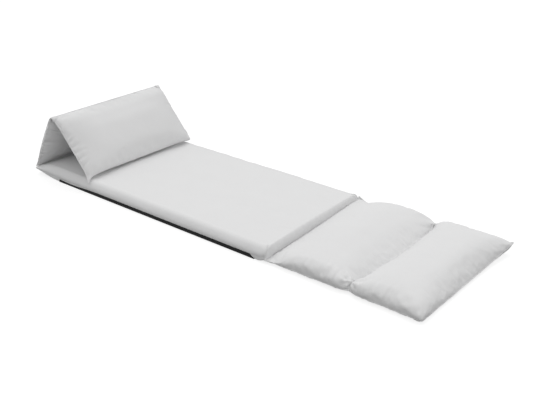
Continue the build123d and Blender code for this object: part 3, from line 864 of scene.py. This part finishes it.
def metal_material(name, colour, worn, metallic, rough_low, rough_high, grain):
    """Steel or its coating, with fine grain and slightly worn high spots."""
    material, nodes, shader = new_material(name)
    place = nodes.new("ShaderNodeTexCoord")
    fine = add_node(nodes, "ShaderNodeTexNoise", Scale=grain, Detail=4)
    broad = add_node(nodes, "ShaderNodeTexNoise", Scale=35, Detail=5)
    join(place, "Object", fine, "Vector")
    join(place, "Object", broad, "Vector")
    ramp = nodes.new("ShaderNodeValToRGB")
    for stop, position, shade in zip(ramp.color_ramp.elements, (0.35, 0.75), (colour, worn)):
        stop.position, stop.color = position, (*shade, 1)
    join(broad, "Fac", ramp, "Fac")
    join(ramp, "Color", shader, "Base Color")
    rough = add_node(nodes, "ShaderNodeMapRange", To_Min=rough_low, To_Max=rough_high)
    join(fine, "Fac", rough, "Value")
    join(rough, "Result", shader, "Roughness")
    bump = add_node(nodes, "ShaderNodeBump", Strength=0.2, Distance=thread_relief)
    join(fine, "Fac", bump, "Height")
    join(bump, "Normal", shader, "Normal")
    shader.inputs["Metallic"].default_value = metallic
    return material


by_slot = {
    "grey_fabric": cloth_material(
        "grey_cover_cloth", (0.78, 0.78, 0.782), (0.64, 0.64, 0.643), 1700, 0.35, 0.30, marks=0.12),
    "black_cloth": cloth_material(
        "black_underside_cloth", (0.012, 0.012, 0.013), (0.03, 0.03, 0.03), 1200, 0.5, 0.5, sheen=0.05),
    "elastic_webbing": cloth_material(
        "elastic_webbing_cloth", (0.05, 0.05, 0.05), (0.02, 0.02, 0.02), 900, 0.6, 0.5, mapped="Object"),
    "foam": cloth_material(
        "foam_surface", (0.80, 0.77, 0.66), (0.66, 0.62, 0.5), 500, 0.8, 0.6, mapped="Object"),
    "fibre_fill": cloth_material(
        "fibre_fill_surface", (0.88, 0.88, 0.88), (0.75, 0.75, 0.75), 300, 0.8, 0.5, mapped="Object"),
    "black_powder_coat": metal_material(
        "black_powder_coat", (0.02, 0.02, 0.021), (0.035, 0.035, 0.036), 0.0, 0.42, 0.6, 2500),
    "zinc_plated_steel": metal_material(
        "zinc_plated_plate", (0.60, 0.60, 0.57), (0.68, 0.67, 0.60), 1.0, 0.28, 0.45, 900),
    "spring_steel": metal_material(
        "blued_spring_strip", (0.16, 0.18, 0.24), (0.26, 0.24, 0.24), 1.0, 0.3, 0.45, 1200),
}
grey_thread = cloth_material(
    "grey_sewing_thread", (0.66, 0.66, 0.665), (0.5, 0.5, 0.5), 4000, 0.3, 0.4, mapped="Object")
for subpart in frame["record"]["subparts"]:
    node = frame["nodes"][subpart["node"]]
    node.data.materials.clear()
    node.data.materials.append(by_slot[subpart["material_slot"]])


# ---- seams and stitches that follow a path ----
stitch_pitch, stitch_length, thread_radius = 0.004, 0.0030, 0.0005


def finish_tree(given, out, last, output):
    """Makes instances real and gives everything the tree's material."""
    nodes = given.id_data.nodes
    real, coat = nodes.new("GeometryNodeRealizeInstances"), nodes.new("GeometryNodeSetMaterial")
    join(last, output, real, "Geometry")
    join(real, "Geometry", coat, "Geometry")
    join(given, "Material", coat, "Material")
    join(coat, "Geometry", out, "Geometry")


def seam_trees():
    """Two geometry trees: a thin piped seam and a row of stitches, each along a curve."""
    taken, made = {"Geometry": "Geometry", "Material": "Material"}, {"Geometry": "Geometry"}
    piping, given, out = new_group("piped_seam", "GeometryNodeTree", {**taken, "Radius": "Float"}, made)
    nodes = piping.nodes
    ring = add_node(nodes, "GeometryNodeCurvePrimitiveCircle", Resolution=8)
    tube = add_node(nodes, "GeometryNodeCurveToMesh", Fill_Caps=True)
    finish_tree(given, out, tube, "Mesh")
    join(given, "Radius", ring, "Radius")
    join(given, "Geometry", tube, "Curve")
    join(ring, "Curve", tube, "Profile Curve")

    stitching, given, out = new_group("stitch_row", "GeometryNodeTree", taken, made)
    nodes = stitching.nodes
    spots = nodes.new("GeometryNodeCurveToPoints")
    spots.mode = "LENGTH"
    spots.inputs["Length"].default_value = stitch_pitch
    bead = add_node(nodes, "GeometryNodeMeshUVSphere", Segments=6, Rings=4, Radius=1.0)
    vary = add_node(nodes, "FunctionNodeRandomValue", Seed=7)
    ends = [socket for socket in vary.inputs if socket.name in ("Min", "Max") and socket.type == "VALUE"]
    ends[0].default_value, ends[1].default_value = 0.42, 0.52
    half = nodes.new("ShaderNodeMath")
    half.operation, half.inputs[1].default_value = "MULTIPLY", stitch_length
    size = add_node(nodes, "ShaderNodeCombineXYZ", X=thread_radius, Y=thread_radius)
    place = nodes.new("GeometryNodeInstanceOnPoints")
    join(given, "Geometry", spots, "Curve")
    stitching.links.new(next(s for s in vary.outputs if s.type == "VALUE"), half.inputs[0])
    join(half, 0, size, "Z")
    join(spots, "Points", place, "Points")
    join(spots, "Rotation", place, "Rotation")
    join(bead, "Mesh", place, "Instance")
    join(size, "Vector", place, "Scale")
    finish_tree(given, out, place, "Instances")
    return piping, stitching


piped_seam, stitch_row = seam_trees()


def along_paths(name, paths, tree, material, **values):
    """A mesh that a geometry tree makes along one or more paths."""
    curve = bpy.data.curves.new(name, "CURVE")
    curve.dimensions = "3D"
    for path in paths:
        spline = curve.splines.new("POLY")
        spline.points.add(len(path) - 1)
        spline.points.foreach_set("co", np.column_stack([path, np.ones(len(path))]).ravel())
    source = bpy.data.objects.new(name + "_path", curve)
    bpy.context.collection.objects.link(source)
    maker = source.modifiers.new(tree.name, "NODES")
    maker.node_group = tree
    sockets = {item.name: item.identifier for item in tree.interface.items_tree if item.in_out == "INPUT"}
    for label, value in {"Material": material, **values}.items():
        maker[sockets[label]] = value
    mesh = bpy.data.meshes.new_from_object(source.evaluated_get(bpy.context.evaluated_depsgraph_get()))
    bpy.data.objects.remove(source)
    bpy.data.curves.remove(curve)
    mesh.name = name
    mesh.polygons.foreach_set("use_smooth", np.ones(len(mesh.polygons), bool))
    return new_piece(name, mesh)


def rim_path(pillow, shared_at_start):
    """The seam round a pillow's sides and the end that it doesn't share with the next pillow."""
    grid = pillow.grid if shared_at_start else pillow.grid[::-1]
    return points_of(pillow.piece)[[*grid[:, 0], *grid[-1, 1:], *grid[-2::-1, -1]]]


def inset_paths(pillow, inset, lift):
    """Lines beside the seam at both sides of both panels, just proud of the cloth."""
    co = points_of(pillow.piece) + normals_of(pillow.piece) * lift
    rows = slice(inset + 1, -inset - 1)
    grids = pillow.grid, pillow.other_grid
    return [co[grid[rows, column]] for grid in grids for column in (inset, -inset - 1)]


# ---- each piece dressed, and put on its body or left in place ----
def dress(piece, slot, *nodes):
    """Gives a piece the material of its slot, and hides the nodes that it stands for."""
    piece.data.materials.clear()
    piece.data.materials.append(by_slot[slot])
    if nodes:
        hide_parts(*nodes)


def smooth_once(piece):
    finer = piece.modifiers.new("finer", "SUBSURF")
    finer.levels = finer.render_levels = 1


def bend_with_back(piece):
    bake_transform(piece)


def bend_with_foot(piece):
    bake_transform(piece)


grey = by_slot["grey_fabric"]
seam_radius, corner_seam_radius = 0.0014, 0.0020
stitch_inset, stitch_lift = 2, 0.0003
replaced = {
    "headrest_rear": ("head_rear_cover", "head_rear_fill"),
    "headrest_front": ("head_front_cover", "head_front_fill"),
    "foot_inner": ("foot_inner_cover", "foot_inner_fill", "foot_web"),
    "foot_outer": ("foot_outer_cover", "foot_outer_fill"),
}
for body, pillow in pillows.items():
    name = pillow.piece.name
    rim = rim_path(pillow, body in ("headrest_front", "foot_outer"))
    stitched = inset_paths(pillow, stitch_inset, stitch_lift)
    extras = [
        along_paths(name + "_seam", [rim], piped_seam, grey, Radius=seam_radius),
        along_paths(name + "_stitches", stitched, stitch_row, grey_thread),
    ]
    smooth_once(pillow.piece)
    dress(pillow.piece, "grey_fabric", *replaced[body])
    for piece in (pillow.piece, *extras):
        if body == "foot_inner":
            bend_with_foot(piece)
        else:
            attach(piece, body)

mat_points = points_of(mat) + normals_of(mat) * 0.0004
head_stitches = along_paths(
    "head_end_stitches", [mat_points[mat_seams["head"]] + [0.006, 0, 0.0012]], stitch_row, grey_thread)
corner_seams = along_paths(
    "foot_corner_seams", [mat_points[mat_seams[name]] for name in ("near_corner", "far_corner")],
    piped_seam, grey, Radius=corner_seam_radius)
side_stitches = along_paths(
    "side_stitches", [mat_points[mat_seams[name]] for name in ("near_side", "far_side")],
    stitch_row, grey_thread)

smooth_once(mat)
dress(mat, "grey_fabric", "seat_cover", "back_cover", "fold_cover", "seat_foam", "back_foam", "fold_foam")
dress(base_cloth, "black_cloth", "seat_base_cloth", "back_base_cloth")
for piece in (side_stitches, mat, base_cloth):
    bend_with_back(piece)
dress(head_flap, "grey_fabric", "head_flap")
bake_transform(head_flap)
dress(foot_seam_roll, "grey_fabric", "foot_seam")
dress(ridge_binding, "grey_fabric", "head_ridge_seam")
dress(ridge_tabs, "grey_fabric")
dress(seat_straps, "elastic_webbing", "seat_straps")
dress(back_straps, "elastic_webbing", "back_straps")
riding = {
    "seat": (corner_seams, seat_straps), "back": (head_stitches, back_straps),
    "headrest_rear": (ridge_binding, ridge_tabs), "foot_inner": (foot_seam_roll,),
}
for body, pieces in riding.items():
    for piece in pieces:
        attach(piece, body)


# ---- floor, light and camera ----
sky_level, backdrop_level = 0.75, 1.0
sun_energy, sun_angle, sun_side = 0.76, math.radians(40), (-0.32, 0.36, 1)
floor_reach, floor_albedo, floor_glow = 30, 0.30, 0.79
photo_azimuth, photo_elevation = math.radians(39.09), math.radians(24.91)
photo_focal_length, photo_width = 812.78, 550
photo_place = (mat_head + 2.8194, -2.1528, 1.3382)


def camera_seen(nodes):
    """A node that gives 1 where the camera sees a surface, also in a mirror or through glass."""
    path = nodes.new("ShaderNodeLightPath")
    seen, output = path, "Is Camera Ray"
    for ray in ("Is Glossy Ray", "Is Transmission Ray"):
        either = nodes.new("ShaderNodeMath")
        either.operation = "MAXIMUM"
        join(seen, output, either, 0)
        join(path, ray, either, 1)
        seen, output = either, 0
    return seen


def make_floor():
    corners = [(x * floor_reach, y * floor_reach, 0) for x, y in ((-1, -1), (1, -1), (1, 1), (-1, 1))]
    floor = mesh_from("floor", corners, [(0, 1, 2, 3)])
    floor.location.z = -floor_gap
    material, nodes, _ = new_material("floor_paper")
    nodes.clear()
    out, both = nodes.new("ShaderNodeOutputMaterial"), nodes.new("ShaderNodeAddShader")
    matt = add_node(nodes, "ShaderNodeBsdfDiffuse", Color=(floor_albedo, floor_albedo, floor_albedo, 1))
    glow, level = nodes.new("ShaderNodeEmission"), nodes.new("ShaderNodeMath")
    level.operation, level.inputs[1].default_value = "MULTIPLY", floor_glow
    join(camera_seen(nodes), 0, level, 0)
    join(level, 0, glow, "Strength")
    join(matt, 0, both, 0)
    join(glow, 0, both, 1)
    join(both, 0, out, "Surface")
    floor.data.materials.append(material)


def make_light():
    """A bright studio all round, white where the camera sees it, and one large soft window."""
    world = bpy.data.worlds.new("studio")
    bpy.context.scene.world = world
    world.use_nodes = True
    nodes = world.node_tree.nodes
    back = nodes["Background"]
    back.inputs["Color"].default_value = (1, 1, 1, 1)
    level = add_node(nodes, "ShaderNodeMapRange", To_Min=sky_level, To_Max=backdrop_level)
    join(camera_seen(nodes), 0, level, "Value")
    join(level, "Result", back, "Strength")
    lamp = bpy.data.lights.new("soft_window", "SUN")
    lamp.energy, lamp.angle = sun_energy, sun_angle
    key = bpy.data.objects.new("soft_window", lamp)
    key.rotation_mode = "QUATERNION"
    key.rotation_quaternion = Vector(sun_side).to_track_quat("Z", "Y")
    bpy.context.collection.objects.link(key)


def make_camera():
    """The photograph's view: its direction, place and lens, for a picture 550 wide and 412 high."""
    level = math.cos(photo_elevation)
    back = (math.sin(photo_azimuth) * level, -math.cos(photo_azimuth) * level, math.sin(photo_elevation))
    lens = bpy.data.cameras.new("photo_view")
    lens.sensor_width = 36
    lens.lens = photo_focal_length / photo_width * lens.sensor_width
    camera = bpy.data.objects.new("photo_view", lens)
    camera.location = photo_place
    camera.rotation_mode = "QUATERNION"
    camera.rotation_quaternion = (-Vector(back)).to_track_quat("-Z", "Y")
    bpy.context.collection.objects.link(camera)
    bpy.context.scene.camera = camera


make_floor()
make_light()
make_camera()
bpy.context.scene.view_settings.view_transform = "Standard"
